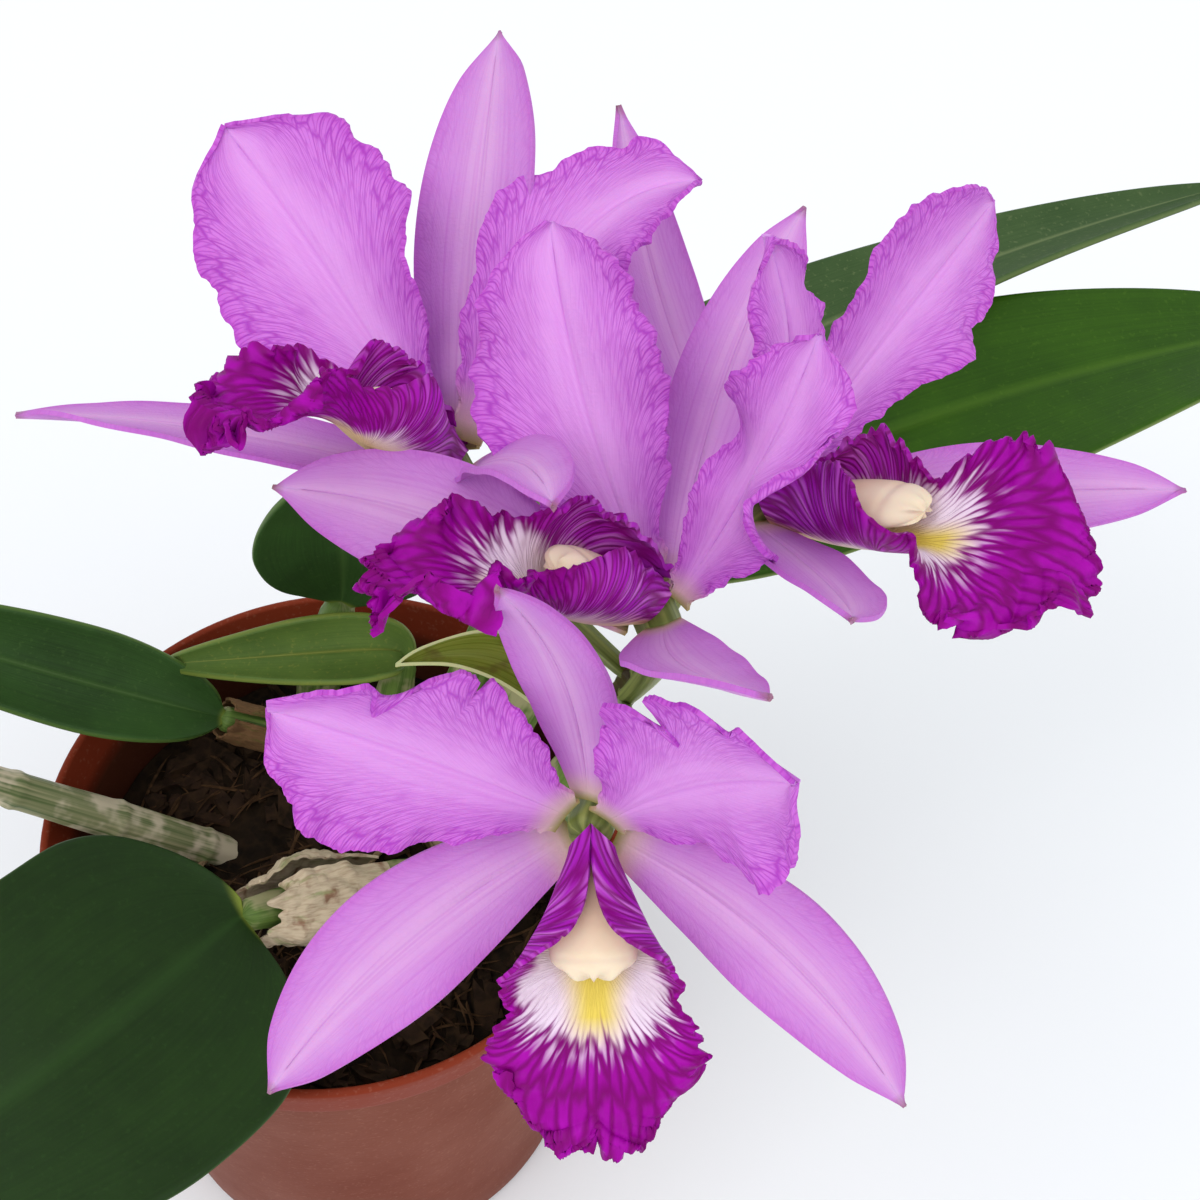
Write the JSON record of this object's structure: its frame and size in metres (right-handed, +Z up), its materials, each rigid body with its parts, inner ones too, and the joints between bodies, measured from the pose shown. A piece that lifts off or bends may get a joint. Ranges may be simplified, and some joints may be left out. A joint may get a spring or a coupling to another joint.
{
  "type": "potted cattleya orchid",
  "caption": "Potted orchid in bloom: tapered plastic pot of bark mix, creeping rhizome with pseudobulbs and leathery leaves, and a stem of large ruffled lilac flowers.",
  "frame": {"origin": "centre of the pot's flat underside", "axes": "+Z up out of the pot; the flower that faces the viewer faces -Y; +X to the viewer's right"},
  "size_m": [0.3764, 0.2577, 0.3376],
  "materials": {
    "pot": "moulded terracotta-coloured plastic, satin",
    "potting_mix": "damp dark bark and coir fibre",
    "rhizome": "woody green-brown rhizome with dry scales",
    "pseudobulb": "grey-green stem with thin pale sheaths",
    "leaf": "thick leathery dark green leaf, satin",
    "sheath": "dry papery sheath",
    "spathe": "thin yellow-green flower sheath",
    "peduncle": "smooth dark green-brown flower stem",
    "pedicel": "smooth olive-green flower stalk",
    "sepal": "crystalline lilac-pink tissue",
    "petal": "crystalline lilac-pink tissue, darker veined margin",
    "lip": "velvety magenta-purple with white and yellow throat",
    "column": "waxy cream"
  },
  "bodies": {
    "root": {"cane_left": "pseudobulb", "column_a": "column", "column_b": "column", "column_c": "column", "column_d": "column", "leaf_cane": "leaf", "leaf_front": "leaf", "leaf_left": "leaf", "leaf_mid": "leaf", "leaf_rear": "leaf", "leaf_right_lower": "leaf", "leaf_right_upper": "leaf", "lip_a": "lip", "lip_b": "lip", "lip_c": "lip", "lip_d": "lip", "pedicel_a": "pedicel", "pedicel_b": "pedicel", "pedicel_c": "pedicel", "pedicel_d": "pedicel", "peduncle": "peduncle", "petal_left_a": "petal", "petal_left_b": "petal", "petal_left_c": "petal", "petal_left_d": "petal", "petal_right_a": "petal", "petal_right_b": "petal", "petal_right_c": "petal", "petal_right_d": "petal", "pot": "pot", "potting_mix": "potting_mix", "pseudobulb_back": "pseudobulb", "pseudobulb_flowering": "pseudobulb", "pseudobulb_front": "pseudobulb", "pseudobulb_left": "pseudobulb", "pseudobulb_mid": "pseudobulb", "pseudobulb_rear": "pseudobulb", "pseudobulb_right": "pseudobulb", "rhizome": "rhizome", "sepal_dorsal_a": "sepal", "sepal_dorsal_b": "sepal", "sepal_dorsal_c": "sepal", "sepal_dorsal_d": "sepal", "sepal_left_a": "sepal", "sepal_left_b": "sepal", "sepal_left_c": "sepal", "sepal_left_d": "sepal", "sepal_right_a": "sepal", "sepal_right_b": "sepal", "sepal_right_c": "sepal", "sepal_right_d": "sepal", "sheath_front": "sheath", "sheath_left": "sheath", "spathe": "spathe"}
  },
  "joints": []
}
